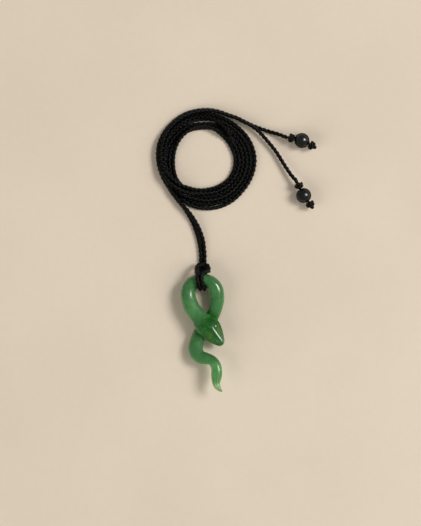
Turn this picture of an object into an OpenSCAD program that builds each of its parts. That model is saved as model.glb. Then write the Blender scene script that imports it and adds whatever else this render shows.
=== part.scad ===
// Carved snake pendant on a doubled braided cord. The cord lies in a coil, with a bead on each end.
// Millimetres, +Z up. The origin is under the middle of the snake, on the surface that it rests on.

/* [Snake] */
// Width of the snake's limb
limb_w = 5.8; // [5.4:0.1:5.9]
// Thickness of the snake's limb
limb_t = 5.2; // [4.8:0.1:5.2]
// Width of the head at its widest
head_w = 9.4; // [8.6:0.1:10]
// Thickness of the head
head_t = 4.9; // [4.4:0.1:5.2]

/* [Cord] */
// Diameter of the braided cord
cord_d = 1.5; // [1.2:0.1:1.5]
// Radius of the coil's inner edge
coil_inner_r = 11.8; // [10:0.1:13]
// Radius of the coil's outer edge
coil_outer_r = 20.2; // [17:0.1:20.2]
// Height of the coil, which is two layers of cord
coil_t = 3; // [2.6:0.1:3.4]

/* [Beads] */
// Diameter of a bead
bead_d = 6; // [5:0.1:6]
// Diameter of the hole through a bead
bead_bore_d = 1.8; // [1.7:0.1:2.2]
// Length of a knot along the cord
knot_l = 2.7; // [2.4:0.1:2.7]
// Diameter over a knot's two wraps
knot_d = 3.5; // [3.3:0.1:3.8]

/* [Hidden] */
$fn = 48;

jade = [0.24, 0.55, 0.32];
black_cord = [0.06, 0.06, 0.06];
black_stone = [0.12, 0.13, 0.14];

// Sides of the snake's section, and rings from one row of its tables to the next
snake_sides = 24;
snake_rings = 2;
// Height of the head's side edge below its middle, as a share of its thickness
edge_drop = 0.08;
// How far the head's upper facets swell, as a share of its thickness
facet_crown = 0.07;
// Gap that keeps the lowest row of the tables off the surface
snake_lift = 0.02;
// Place of the head's widest point, and the way that the nose points
head_at = [2.2, 2.4];
head_turn = -51;

// Sides of a cord's tube, which keeps this much clear of its neighbours
cord_sides = 8;
cord_gap = 0.06;
// Centre of the coil, and the rounding of its edges
coil_at = [1.5, 69.4];
coil_corner_r = 1.2;

// Places of the beads, and the way that each thread runs, from the inner knot to the end knot
upper_bead_at = [39.7, 76.8];
upper_turn = -20;
lower_bead_at = [40.4, 54.8];
lower_turn = -59;
// How far each thread turns clockwise between the bead's bore and either knot
upper_bend = 8;
lower_bend = -5;
// Gap between a bead and its knots
knot_gap = 0.03;
// How far a thread stops short of the bead's ends
thread_gap = 0.07;
// Radius of one wrap of a knot, and of the cord between the wraps
wrap_r = 0.8;
waist_r = 1.3;
// Length and diameter of the cut end beyond the last knot
stub_l = 0.6;
stub_d = 1.3;

// Head and neck, from the nose back. Columns: distance ahead of the widest point, offset to the
// head's right, height of the centre, share of head_w, share of head_t, keel (1 sharp, 0 round)
HEAD = [
    [9.20, 0.15, 5.00, 0.10, 0.14, 1.0],
    [8.95, 0.15, 5.02, 0.24, 0.30, 1.0],
    [8.30, 0.15, 5.08, 0.37, 0.46, 1.0],
    [7.20, 0.12, 5.20, 0.51, 0.62, 1.0],
    [5.90, 0.10, 5.35, 0.65, 0.76, 1.0],
    [3.60, 0.05, 5.55, 0.85, 0.90, 0.9],
    [1.20, 0.00, 5.65, 0.97, 1.00, 0.6],
    [0.00, 0.05, 5.70, 1.00, 1.02, 0.4],
    [-1.20, 0.10, 5.70, 0.99, 1.02, 0.2],
    [-3.45, 0.40, 5.65, 0.82, 1.02, 0.0],
];

// Neck and left side of the loop, up to its top. Columns: x, y, height of the centre, share of
// limb_w, share of limb_t
LOOP_LEFT = [
    [-1.35, 6.15, 5.60, 1.12, 0.97],
    [-2.80, 7.90, 5.40, 1.06, 0.98],
    [-4.40, 10.25, 5.10, 1.06, 1.00],
    [-5.45, 13.10, 4.75, 1.02, 1.00],
    [-5.85, 15.30, 4.55, 0.99, 1.00],
    [-5.45, 17.70, 4.40, 0.97, 1.00],
    [-4.05, 19.70, 4.30, 0.93, 1.00],
    [-2.20, 20.70, 4.30, 0.88, 1.00],
    [0.00, 21.00, 4.30, 0.845, 1.00],
];

// Right side of the loop, down under the head and along the body to the tail's tip, which rises off
// the surface, in the same columns
LOOP_RIGHT = [
    [2.40, 20.50, 4.30, 0.90, 1.00],
    [4.30, 19.05, 4.25, 0.96, 1.00],
    [5.40, 17.00, 4.15, 1.00, 1.00],
    [5.70, 14.80, 4.00, 1.00, 1.00],
    [5.75, 12.80, 3.75, 0.98, 1.00],
    [5.30, 10.40, 3.35, 0.94, 1.00],
    [4.35, 7.60, 2.85, 0.93, 0.98],
    [2.55, 4.60, 2.50, 0.95, 0.96],
    [0.15, 1.40, 2.50, 0.98, 0.96],
    [-1.35, -1.40, 2.50, 1.00, 0.96],
    [-2.35, -4.00, 2.50, 1.00, 0.96],
    [-2.80, -6.10, 2.70, 1.00, 0.96],
    [-2.45, -8.05, 3.20, 0.98, 0.96],
    [-1.10, -9.65, 3.90, 0.92, 0.92],
    [0.90, -10.25, 4.60, 0.84, 0.86],
    [2.50, -10.60, 5.20, 0.76, 0.82],
    [3.90, -11.25, 5.70, 0.71, 0.78],
    [5.00, -12.60, 6.10, 0.73, 0.76],
    [5.60, -14.60, 6.45, 0.75, 0.74],
    [5.56, -17.10, 6.70, 0.75, 0.68],
    [5.42, -19.10, 7.00, 0.62, 0.56],
    [5.50, -20.50, 7.25, 0.51, 0.44],
    [6.08, -21.65, 7.45, 0.42, 0.33],
    [6.80, -22.55, 7.60, 0.27, 0.24],
    [7.60, -23.20, 7.75, 0.14, 0.13],
];

// Route of the hitch, from the left leg, under the loop, up through it and over its front, across
// the legs and back the same way to the right leg. Columns: x, y, z
HITCH_ROUTE = [
    [-0.80, 28.2, 0.80],
    [-0.80, 25.0, 0.80],
    [-0.82, 22.0, 0.80],
    [-0.90, 19.2, 0.80],
    [-0.95, 18.0, 1.40],
    [-1.00, 17.6, 2.60],
    [-1.10, 17.6, 4.30],
    [-1.20, 17.8, 5.90],
    [-1.35, 18.6, 7.20],
    [-1.65, 20.0, 7.85],
    [-1.95, 21.6, 7.85],
    [-2.20, 23.2, 7.35],
    [-2.45, 24.5, 6.00],
    [-2.60, 25.4, 4.60],
    [-2.40, 26.3, 3.30],
    [-1.40, 26.8, 2.60],
    [0.00, 26.8, 2.45],
    [1.40, 26.7, 2.60],
    [2.40, 26.0, 3.30],
    [2.50, 25.0, 4.60],
    [1.60, 24.4, 6.10],
    [0.40, 23.3, 7.35],
    [-0.20, 21.6, 7.85],
    [0.05, 20.0, 7.85],
    [0.40, 18.6, 7.20],
    [0.60, 17.8, 5.90],
    [0.75, 17.6, 4.30],
    [0.80, 17.6, 2.60],
    [0.80, 18.0, 1.40],
    [0.80, 19.2, 0.80],
    [0.80, 22.0, 0.80],
    [0.85, 25.0, 0.80],
    [0.90, 28.2, 0.80],
];

// Routes of the two legs from the hitch to the coil, and of the two tails from the coil to their
// knots. Columns: x, y, z
NECK_LEFT_ROUTE = [
    [-0.80, 28.3, 0.80],
    [-0.80, 31.0, 0.80],
    [-1.05, 34.0, 0.80],
    [-1.60, 37.0, 0.80],
    [-2.45, 40.0, 0.80],
    [-3.60, 43.0, 0.80],
    [-5.05, 46.0, 0.80],
    [-7.00, 49.2, 0.80],
    [-8.10, 50.7, 0.80],
];
NECK_RIGHT_ROUTE = [
    [0.90, 28.3, 0.80],
    [0.90, 31.0, 0.80],
    [0.70, 34.0, 0.85],
    [0.15, 37.0, 1.00],
    [-0.85, 40.1, 1.30],
    [-2.25, 43.2, 1.80],
    [-4.15, 46.3, 2.20],
    [-6.45, 49.2, 2.35],
    [-7.75, 50.7, 2.35],
];
TAIL_UPPER_ROUTE = [
    [15.7, 84.85, 0.80],
    [18.9, 83.35, 0.80],
    [21.6, 82.2, 0.80],
    [24.6, 81.1, 0.85],
    [27.6, 80.15, 1.10],
    [30.3, 79.35, 1.75],
    [32.2, 78.6, 2.55],
    [33.2, 78.2, 2.90],
    [34.0, 78.0, 3.00],
];
TAIL_LOWER_ROUTE = [
    [15.7, 84.75, 2.35],
    [18.8, 83.2, 2.35],
    [21.3, 81.5, 2.30],
    [23.7, 79.2, 2.15],
    [25.9, 76.7, 2.00],
    [27.9, 74.3, 1.90],
    [29.9, 71.6, 1.85],
    [31.7, 68.7, 1.90],
    [33.7, 65.5, 2.10],
    [35.6, 62.75, 2.45],
    [37.2, 60.95, 2.90],
    [37.78, 60.05, 3.00],
];

function unit(v) = v / norm(v);
function xyz(row) = [row[0], row[1], row[2]];

// A row of the HEAD table as x, y, height, width, thickness and keel
function head_row(r) = [
    head_at[0] + r[0] * cos(head_turn) + r[1] * sin(head_turn),
    head_at[1] + r[0] * sin(head_turn) - r[1] * cos(head_turn),
    r[2], r[3] * head_w, r[4] * head_t, r[5]
];

// A row of the LOOP tables in the same form
function limb_row(r) = [r[0], r[1], r[2], r[3] * limb_w, r[4] * limb_t, 0];

snake_rows = concat([for (r = HEAD) head_row(r)], [for (r = LOOP_LEFT) limb_row(r)],
    [for (r = LOOP_RIGHT) limb_row(r)]);
// The sweep is cut in two at the loop's top, because the snake crosses over itself
snake_cut = len(HEAD) + len(LOOP_LEFT) - 1;

// The row at u on a smooth curve through a table's rows, where u = 2.5 is halfway from 2 to 3
function row_at(rows, u) =
    let(
        last = len(rows) - 1,
        i = max(0, min(floor(u), last - 1)),
        t = u - i,
        a = rows[max(i - 1, 0)],
        b = rows[i],
        c = rows[i + 1],
        d = rows[min(i + 2, last)]
    )
    (2 * b + (c - a) * t + (2 * a - 5 * b + 4 * c - d) * t * t
        + (3 * b - a - 3 * c + d) * t * t * t) / 2;

// A point of the snake's section at the angle a, as its offsets to the right and up. The head's
// section runs straight from a keel to its side edges, and a limb's is an oval.
function section_point(a, w, t, keel) =
    let(
        across = abs(a - 90) / 90,
        round_p = [w / 2 * cos(a), t / 2 * sin(a)],
        top_p = [
            (a < 90 ? 1 : -1) * w / 2 * across,
            t / 2 - (0.5 + edge_drop) * t * across + facet_crown * t * 4 * across * (1 - across)
        ],
        under_p = [w / 2 * cos(a), -edge_drop * t + (0.5 - edge_drop) * t * sin(a)],
        keeled_p = a <= 180 ? top_p : under_p
    )
    round_p * (1 - keel) + keeled_p * keel;

// The ring of section points at u along the snake
function snake_ring(u) =
    let(
        row = row_at(snake_rows, u),
        step = 0.05,
        ahead = unit(xyz(row_at(snake_rows, min(u + step, len(snake_rows) - 1)))
            - xyz(row_at(snake_rows, max(u - step, 0)))),
        right = unit(cross(ahead, [0, 0, 1])),
        up = cross(right, ahead)
    )
    [for (k = [0:snake_sides - 1])
        let(p = section_point(360 * k / snake_sides, row[3], row[4], row[5]))
        xyz(row) + p[0] * right + p[1] * up];

// Directions along a route, one at each of its points
function directions(route) =
    let(last = len(route) - 1)
    [for (i = [0:last]) unit(route[min(i + 1, last)] - route[max(i - 1, 0)])];

// A vector square to each direction of a route, carried along it without twist
function carried(ways, from, i = 0) =
    i == len(ways) ? [] :
    let(side = unit(from - (from * ways[i]) * ways[i]))
    concat([side], carried(ways, side, i + 1));

// Rings of a round tube along a route
function tube_rings(route, r) =
    let(ways = directions(route), sides = carried(ways, [1, 0.2, 0.1]))
    [for (i = [0:len(route) - 1])
        let(side = sides[i], up = cross(side, ways[i]))
        [for (k = [0:cord_sides - 1])
            let(a = 360 * (k + 0.5) / cord_sides)
            route[i] + r * (cos(a) * side + sin(a) * up)]];

// Closed skin over a row of rings that all have the same number of points
module skin(rings) {
    n = len(rings[0]);
    last = len(rings) - 1;
    polyhedron(
        points = [for (ring = rings) for (p = ring) p],
        faces = concat(
            [[0, for (k = [n - 1:-1:1]) k]],
            [for (i = [0:last - 1]) for (k = [0:n - 1])
                [i * n + k, i * n + (k + 1) % n, (i + 1) * n + (k + 1) % n]],
            [for (i = [0:last - 1]) for (k = [0:n - 1])
                [i * n + k, (i + 1) * n + (k + 1) % n, (i + 1) * n + k]],
            [[for (k = [0:n - 1]) last * n + k]]
        )
    );
}

module cord_tube(route) {
    color(black_cord) skin(tube_rings(route, (cord_d - cord_gap) / 2));
}

module snake_stretch(from, to) {
    skin([for (i = [from * snake_rings:to * snake_rings]) snake_ring(i / snake_rings)]);
}

module snake() {
    color(jade) translate([0, 0, snake_lift]) union() {
        snake_stretch(0, snake_cut);
        snake_stretch(snake_cut, len(snake_rows) - 1);
    }
}

module coil_section() {
    w = coil_outer_r - coil_inner_r;
    translate([coil_inner_r, 0]) {
        translate([coil_corner_r, 0]) square([w - 2 * coil_corner_r, coil_t]);
        translate([0, coil_corner_r]) square([w, coil_t - 2 * coil_corner_r]);
        for (x = [coil_corner_r, w - coil_corner_r], y = [coil_corner_r, coil_t - coil_corner_r])
            translate([x, y]) circle(r = coil_corner_r);
    }
}

module coil() {
    color(black_cord) translate(coil_at) rotate_extrude() coil_section();
}

// Puts its children on a bead's thread, with +Z along the thread and this far past the bead
module on_thread(bead_at, turn, along = 0) {
    translate([bead_at[0], bead_at[1], bead_d / 2])
        rotate([0, 0, turn]) translate([along, 0, 0]) rotate([0, 90, 0]) children();
}

// Distance from a bead's centre to the centre of either knot
knot_along = bead_d / 2 + knot_gap + knot_l / 2;

module knot() {
    rotate_extrude() {
        translate([0, -knot_l / 2]) square([waist_r, knot_l]);
        for (side = [-1, 1])
            translate([knot_d / 2 - wrap_r, side * (knot_l / 2 - wrap_r)]) circle(r = wrap_r);
    }
}

module inner_knot(bead_at, turn) {
    color(black_cord) on_thread(bead_at, turn, -knot_along) knot();
}

module end_knot(bead_at, turn) {
    color(black_cord) on_thread(bead_at, turn, knot_along) {
        knot();
        cylinder(h = knot_l / 2 + stub_l, d = stub_d);
    }
}

module bead(bead_at, turn) {
    color(black_stone) on_thread(bead_at, turn) difference() {
        sphere(d = bead_d);
        cylinder(h = 2 * bead_d, d = bead_bore_d, center = true);
    }
}

module thread(bead_at, turn) {
    color(black_cord) on_thread(bead_at, turn)
        cylinder(h = bead_d - 2 * thread_gap, d = cord_d - cord_gap, center = true);
}

snake();
cord_tube(HITCH_ROUTE);  // hitch
cord_tube(NECK_LEFT_ROUTE);  // neck_cord_left
cord_tube(NECK_RIGHT_ROUTE);  // neck_cord_right
coil();
cord_tube(TAIL_UPPER_ROUTE);  // tail_cord_upper
cord_tube(TAIL_LOWER_ROUTE);  // tail_cord_lower
inner_knot(upper_bead_at, upper_turn + upper_bend);  // upper_inner_knot
bead(upper_bead_at, upper_turn);  // upper_bead
thread(upper_bead_at, upper_turn);  // upper_thread
end_knot(upper_bead_at, upper_turn - upper_bend);  // upper_end_knot
inner_knot(lower_bead_at, lower_turn + lower_bend);  // lower_inner_knot
bead(lower_bead_at, lower_turn);  // lower_bead
thread(lower_bead_at, lower_turn);  // lower_thread
end_knot(lower_bead_at, lower_turn - lower_bend);  // lower_end_knot
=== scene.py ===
"""Snake pendant: a carved jade snake on a doubled braided cord, with a stone bead on each end."""

import logging
import math
from dataclasses import dataclass, field
from enum import Enum
from typing import Any, Sequence

import bmesh
import bpy
import numpy as np
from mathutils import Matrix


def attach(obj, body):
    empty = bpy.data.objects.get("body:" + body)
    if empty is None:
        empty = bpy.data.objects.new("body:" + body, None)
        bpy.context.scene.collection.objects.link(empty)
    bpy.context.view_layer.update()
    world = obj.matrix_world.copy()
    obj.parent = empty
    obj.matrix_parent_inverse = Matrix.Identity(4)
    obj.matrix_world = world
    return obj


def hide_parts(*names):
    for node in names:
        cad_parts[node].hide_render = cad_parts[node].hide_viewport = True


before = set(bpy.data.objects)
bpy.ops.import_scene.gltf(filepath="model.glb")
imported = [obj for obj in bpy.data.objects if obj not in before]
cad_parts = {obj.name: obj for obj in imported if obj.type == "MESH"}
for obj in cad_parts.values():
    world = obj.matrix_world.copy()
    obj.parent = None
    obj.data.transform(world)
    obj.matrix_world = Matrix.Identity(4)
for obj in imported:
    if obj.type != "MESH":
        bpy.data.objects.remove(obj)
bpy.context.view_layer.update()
LOG = logging.getLogger("snake_pendant")
MM = 0.001
UP = np.array([0.0, 0.0, 1.0])
FULL_TURN = 2 * math.pi

Array = np.ndarray
Numbers = np.ndarray | float
Object = bpy.types.Object
Material = bpy.types.Material
NodeTree = bpy.types.NodeTree
Pair = tuple[float, float]
Triple = tuple[float, float, float]
Table = tuple[tuple[float, ...], ...]


class Slot(Enum):
    """Material slots of the record."""

    JADE = "jade"
    CORD = "cord"
    BLACK_STONE = "black_stone"


class KnotPlace(Enum):
    """Which side of its bead a knot is on."""

    INNER = -1
    END = 1


class Leg(Enum):
    """The two legs of the cord, counted as in the tables of the coil."""

    LEFT = 0
    RIGHT = 1


class Cap(Enum):
    """Free end of a stretch: how far its cap reaches as a share of the radius, and its start in degrees."""

    NOSE = (0.35, 38.0)
    TAIL = (0.9, 15.0)


# ---------------------------------------------------------------- mesh helpers


def smooth_step(low: float, high: float, value: Numbers) -> Numbers:
    """Eases from 0 at low to 1 at high.

    Args:
        low: value that gives 0.
        high: value that gives 1.
        value: a number or an array to ease.

    Returns:
        The eased number or array, from 0 to 1.
    """
    t = np.clip((value - low) / (high - low), 0, 1)
    return t * t * (3 - 2 * t)


def spot(across: Numbers, along: Numbers, wide: float, long: float) -> Numbers:
    """Gives a soft spot, 1 where both distances are 0, that fades over its two half sizes."""
    return np.exp(-((across / wide) ** 2) - (along / long) ** 2)


def unit(rows: Array) -> Array:
    """Scales each row to length 1."""
    return rows / np.maximum(np.linalg.norm(rows, axis=-1, keepdims=True), 1e-12)


def run_along(line: Array) -> Array:
    """Gives the length of a line from its start to each of its rows."""
    return np.concatenate([[0], np.cumsum(np.linalg.norm(np.diff(line, axis=0), axis=1))])


def smooth_between(a: Array, b: Array, c: Array, d: Array, t: Numbers) -> Array:
    """Gives the place at t, from 0 to 1, on the smooth curve from b to c that comes from a and goes on to d."""
    return (2 * b + (c - a) * t + (2 * a - 5 * b + 4 * c - d) * t**2 + (3 * b - a - 3 * c + d) * t**3) / 2


def curve_through(points: Array, step: float) -> Array:
    """Runs a smooth curve through points and divides it evenly.

    Args:
        points: rows of x, y, z.
        step: wanted distance from one row of the result to the next.

    Returns:
        Rows of x, y, z along the curve.
    """
    ends = np.vstack([2 * points[0] - points[1], points, 2 * points[-1] - points[-2]])
    t = np.linspace(0, 1, 12, endpoint=False)[None, :, None]
    a, b, c, d = (ends[i : len(ends) - 3 + i, None, :] for i in range(4))
    fine = np.vstack([smooth_between(a, b, c, d, t).reshape(-1, 3), points[-1:]])
    run = run_along(fine)
    even = np.linspace(0, run[-1], max(int(round(run[-1] / step)), 2) + 1)
    return np.stack([np.interp(even, run, fine[:, k]) for k in range(3)], axis=1)


def add_tube(bm: bmesh.types.BMesh, rings: Array, marks: Array | None = None) -> None:
    """Adds a closed tube: a grid rolled up across its rings, welded along its seam and filled at both ends.

    Args:
        bm: mesh that the tube is added to. Its other tubes are closed.
        rings: array of rings, points and x, y, z.
        marks: the same shape, kept on the points as the attribute "strand_place".
    """
    count, around = rings.shape[:2]
    layer = bm.verts.layers.float_vector.get("strand_place")
    first: dict[int, bmesh.types.BMVert] = {}
    last: dict[int, bmesh.types.BMVert] = {}
    for v in bmesh.ops.create_grid(bm, x_segments=around, y_segments=count - 1, size=1.0)["verts"]:
        i, k = round((v.co.y + 1) / 2 * (count - 1)), round((v.co.x + 1) / 2 * around)
        v.co = rings[i, k % around]
        if marks is not None:
            v[layer] = marks[i, k % around]
        if k == 0:
            first[i] = v
        elif k == around:
            last[i] = v
    bmesh.ops.weld_verts(bm, targetmap={last[i]: v for i, v in first.items()})
    bmesh.ops.holes_fill(bm, edges=[e for e in bm.edges if e.is_boundary], sides=0)


def finish_mesh(bm: bmesh.types.BMesh, name: str, sharp: float) -> Object:
    """Turns a bmesh into a smooth-shaded object with its faces pointing outwards.

    Args:
        bm: mesh, which is freed.
        name: name of the piece.
        sharp: edges that bend by more than this angle, in radians, stay sharp.

    Returns:
        The new object, linked to the scene.
    """
    bmesh.ops.recalc_face_normals(bm, faces=bm.faces)
    for face in bm.faces:
        face.smooth = True
    for edge in bm.edges:
        edge.smooth = edge.calc_face_angle(0.0) < sharp
    mesh = bpy.data.meshes.new(name)
    bm.to_mesh(mesh)
    bm.free()
    piece = bpy.data.objects.new(name, mesh)
    bpy.context.collection.objects.link(piece)
    return piece


def dress(piece: Object, finish: Material, nodes: Sequence[str]) -> None:
    """Gives a piece its finish, hangs it under the root body, hides the CAD nodes that it stands for and logs them.

    Args:
        piece: new object.
        finish: its material.
        nodes: CAD nodes that it stands for.
    """
    piece.data.materials.clear()
    piece.data.materials.append(finish)
    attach(piece, "root")
    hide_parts(*nodes)
    LOG.info("%s: %d faces, stands for %s", piece.name, len(piece.data.polygons), ", ".join(nodes))


# ---------------------------------------------------------------- finishes


class Sheet:
    """Lays out the nodes of one material or node group."""

    def __init__(self, tree: NodeTree) -> None:
        """Starts an empty sheet on a node tree."""
        self.tree = tree
        tree.nodes.clear()

    def add(self, kind: str, inputs: dict[Any, Any] | None = None, **settings: Any) -> bpy.types.Node:
        """Adds a node.

        Args:
            kind: type of the node, without its ShaderNode prefix.
            inputs: sockets by name or number, each a value or an output to link.
            settings: properties of the node.

        Returns:
            The node.
        """
        node = self.tree.nodes.new(kind if kind.startswith("NodeGroup") else "ShaderNode" + kind)
        row, column = divmod(len(self.tree.nodes), 12)
        node.location = (200 * column, -260 * row)
        for key, value in settings.items():
            setattr(node, key, value)
        for key, value in (inputs or {}).items():
            if isinstance(value, bpy.types.NodeSocket):
                self.tree.links.new(value, node.inputs[key])
            else:
                node.inputs[key].default_value = value
        return node

    def place(self) -> Any:
        """Gives the place on the piece in its own coordinates."""
        return self.add("TexCoord").outputs["Object"]

    def mark(self, name: str) -> Any:
        """Gives one of the mesh's attributes as a value."""
        return self.add("Attribute", attribute_name=name).outputs["Fac"]

    def noise(self, place: Any, scale: float, detail: float, swirl: float = 0) -> Any:
        """Adds a noise texture and gives its value."""
        sockets = {"Vector": place, "Scale": scale, "Detail": detail, "Distortion": swirl}
        return self.add("TexNoise", sockets).outputs[0]

    def eased(self, value: Any, low: float, high: float, out_low: float = 0, out_high: float = 1) -> Any:
        """Eases a value from one range into another, and clamps it."""
        sockets = {0: value, 1: low, 2: high, 3: out_low, 4: out_high}
        return self.add("MapRange", sockets, clamp=True, interpolation_type="SMOOTHSTEP").outputs[0]

    def ranged(self, value: Any, low: float, high: float) -> Any:
        """Eases a value from 0 to 1 into the range from low to high."""
        return self.eased(value, 0, 1, low, high)

    def mixed(self, share: Any, first: Any, second: Any, way: str = "MIX") -> Any:
        """Mixes two colours.

        Args:
            share: share of the second colour, a value or an output.
            first: three numbers or an output.
            second: three numbers or an output.
            way: how they are mixed.

        Returns:
            The mixed colour's output.
        """
        start = first if isinstance(first, bpy.types.NodeSocket) else (*first, 1)
        end = second if isinstance(second, bpy.types.NodeSocket) else (*second, 1)
        return self.add("Mix", {0: share, 6: start, 7: end}, data_type="RGBA", blend_type=way).outputs[2]

    def ramp(self, value: Any, stops: Sequence[tuple[float, Triple]]) -> Any:
        """Turns a value into a colour.

        Args:
            value: output from 0 to 1.
            stops: places on the ramp and their colours.

        Returns:
            The colour's output.
        """
        node = self.add("ValToRGB", {0: value})
        marks = node.color_ramp.elements
        while len(marks) < len(stops):
            marks.new(0.5)
        for mark, (place, colour) in zip(marks, stops):
            mark.position, mark.color = place, (*colour, 1)
        return node.outputs[0]

    def clouds(self, group: NodeTree, shift: Triple) -> Any:
        """Adds the clouded stone group, moved by shift on the piece, and gives its outputs."""
        place = self.add("Mapping", {"Vector": self.place(), "Location": shift}).outputs[0]
        return self.add("Group", {0: place}, node_tree=group).outputs

    def skin(self, sockets: dict[str, Any], height: Any, strength: float, depth: float) -> None:
        """Adds the shader, its bumps and the material's output.

        Args:
            sockets: the shader's sockets, each a value or an output to link.
            height: output that the bumps follow.
            strength: strength of the bumps.
            depth: depth of the bumps in metres.
        """
        bump = self.add("Bump", {"Strength": strength, "Distance": depth, "Height": height}).outputs[0]
        shader = self.add("BsdfPrincipled", {**sockets, "Normal": bump})
        self.add("OutputMaterial", {"Surface": shader.outputs[0]})


def new_material(name: str) -> tuple[Material, Sheet]:
    """Starts a material.

    Args:
        name: name of the material.

    Returns:
        The material and the sheet of its nodes.
    """
    material = bpy.data.materials.new(name)
    material.use_nodes = True
    return material, Sheet(material.node_tree)


def effect_group(name: str, inputs: Sequence[str], outputs: Sequence[str]) -> tuple[Sheet, Any]:
    """Starts a node group.

    Args:
        name: name of the group.
        inputs: names of its inputs, which are vectors.
        outputs: names of its outputs, which are values.

    Returns:
        Its sheet, and the sockets that its inputs come from.
    """
    tree = bpy.data.node_groups.new(name, "ShaderNodeTree")
    for titles, way, kind in ((inputs, "INPUT", "Vector"), (outputs, "OUTPUT", "Float")):
        for title in titles:
            tree.interface.new_socket(title, in_out=way, socket_type="NodeSocket" + kind)
    sheet = Sheet(tree)
    return sheet, sheet.add("NodeGroupInput").outputs


def clouded_stone() -> NodeTree:
    """Makes the group that clouds a stone: soft clouds, fine grain and sparse flecks, each from 0 to 1.

    Returns:
        The node group.
    """
    sheet, (place, *_) = effect_group("clouded stone", ["Place"], ["Cloud", "Grain", "Fleck"])
    cloud = sheet.eased(sheet.noise(place, 150, 3, 0.8), 0.32, 0.68)
    grain = sheet.eased(sheet.noise(place, 620, 3, 0.3), 0.3, 0.7)
    cell = sheet.add("TexVoronoi", {"Vector": place, "Scale": 520}, feature="F1").outputs[0]
    sheet.add("NodeGroupOutput", {0: cloud, 1: grain, 2: sheet.eased(cell, 0.2, 0.05)})
    return sheet.tree


def twisted_ply() -> NodeTree:
    """Makes the group that draws the filaments of a strand: streaks along it, and patches of wear.

    Returns:
        The node group.
    """
    sheet, (strand, place, *_) = effect_group("twisted ply", ["Strand", "Place"], ["Filament", "Wear"])
    along = sheet.add("Mapping", {"Vector": strand, "Scale": (1.0, 1.0, 0.1)}).outputs[0]
    streak = sheet.eased(sheet.noise(along, 5.5, 2), 0.3, 0.7)
    sheet.add("NodeGroupOutput", {0: streak, 1: sheet.eased(sheet.noise(place, 900, 2), 0.35, 0.7)})
    return sheet.tree


@dataclass(frozen=True)
class JadeFinish:
    """Polished green jade, deep at the head, pale at the tail's tip, softly clouded."""

    deep: Triple = (0.003, 0.1, 0.005)
    middle: Triple = (0.045, 0.19, 0.051)
    light: Triple = (0.102, 0.335, 0.092)
    pale: Triple = (0.3, 0.46, 0.2)
    # Brownish green that is painted: a glow through the thin stone at the eye, and a warm reflection on the head's
    # left facet
    painted_olive: Triple = (0.085, 0.19, 0.018)
    grain: Triple = (0.1, 0.22, 0.09)
    fleck: Triple = (0.006, 0.045, 0.012)
    # What the clouds multiply the stone's colour by, where they are dark and where they are light
    cloud_dark: Triple = (0.74, 0.8, 0.76)
    cloud_light: Triple = (1.24, 1.13, 1.2)
    grain_share: float = 0.16
    fleck_share: float = 0.1
    gloss: Pair = (0.2, 0.28)
    satin: float = 0.46
    polish: float = 0.22
    shine: Pair = (0.5, 0.1)

    def make(self, stone: NodeTree) -> Material:
        """Makes the material.

        Args:
            stone: the clouded stone group.

        Returns:
            The material.
        """
        material, sheet = new_material("polished_jade")
        cloud = sheet.clouds(stone, (0.01, 0.02, 0.03))
        stops = [(0.0, self.deep), (0.5, self.middle), (0.82, self.light), (1.0, self.pale)]
        # The ramp's mask holds a painted sheen and a painted shadow, and the brownish-green mix is painted glow and
        # painted reflection
        shade = sheet.mixed(sheet.mark("painted_olive"), sheet.ramp(sheet.mark("tone"), stops), self.painted_olive)
        dark = sheet.mixed(1.0, shade, self.cloud_dark, "MULTIPLY")
        light = sheet.mixed(1.0, shade, self.cloud_light, "MULTIPLY")
        shade = sheet.mixed(cloud["Cloud"], dark, light)
        shade = sheet.mixed(sheet.ranged(cloud["Grain"], 0, self.grain_share), shade, self.grain)
        shade = sheet.mixed(sheet.ranged(cloud["Fleck"], 0, self.fleck_share), shade, self.fleck)
        satin = sheet.mark("satin")
        rough = {0: sheet.ranged(cloud["Grain"], *self.gloss), 1: sheet.ranged(satin, 0, self.satin)}
        sockets = {
            "Base Color": shade, "Roughness": sheet.add("Math", rough, operation="ADD").outputs[0],
            "IOR": 1.55, "Subsurface Weight": 0.22, "Subsurface Radius": (0.5, 1.0, 0.5),
            "Subsurface Scale": 0.0012, "Specular IOR Level": sheet.ranged(sheet.mark("quiet"), *self.shine),
            "Coat Weight": sheet.ranged(satin, self.polish, 0), "Coat Roughness": 0.1,
        }
        sheet.skin(sockets, cloud["Grain"], 0.02, 0.0001)
        return material


@dataclass(frozen=True)
class BraidFinish:
    """Black braided cord with a slight sheen on its filaments."""

    # The troughs of the filaments' bumps are painted darker than their crests: a painted shade
    painted_trough_shade: Triple = (0.0003, 0.0003, 0.0003)
    crest: Triple = (0.0014, 0.0016, 0.0016)
    worn: Triple = (0.004, 0.0038, 0.0034)
    worn_share: float = 0.3
    rough: Pair = (0.44, 0.27)

    def make(self, ply: NodeTree) -> Material:
        """Makes the material.

        Args:
            ply: the twisted ply group.

        Returns:
            The material.
        """
        material, sheet = new_material("black_braid")
        strand = sheet.add("Attribute", attribute_name="strand_place").outputs["Vector"]
        thread = sheet.add("Group", {0: strand, 1: sheet.place()}, node_tree=ply).outputs
        # Darker where the bumps dip: painted shade in the filaments' troughs
        shade = sheet.mixed(thread["Filament"], self.painted_trough_shade, self.crest)
        shade = sheet.mixed(sheet.ranged(thread["Wear"], 0, self.worn_share), shade, self.worn)
        rough = sheet.ranged(thread["Filament"], *self.rough)
        sockets = {"Base Color": shade, "Roughness": rough, "IOR": 1.5, "Specular IOR Level": 0.22}
        sheet.skin(sockets, thread["Filament"], 0.5, 0.00004)
        return material


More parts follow.
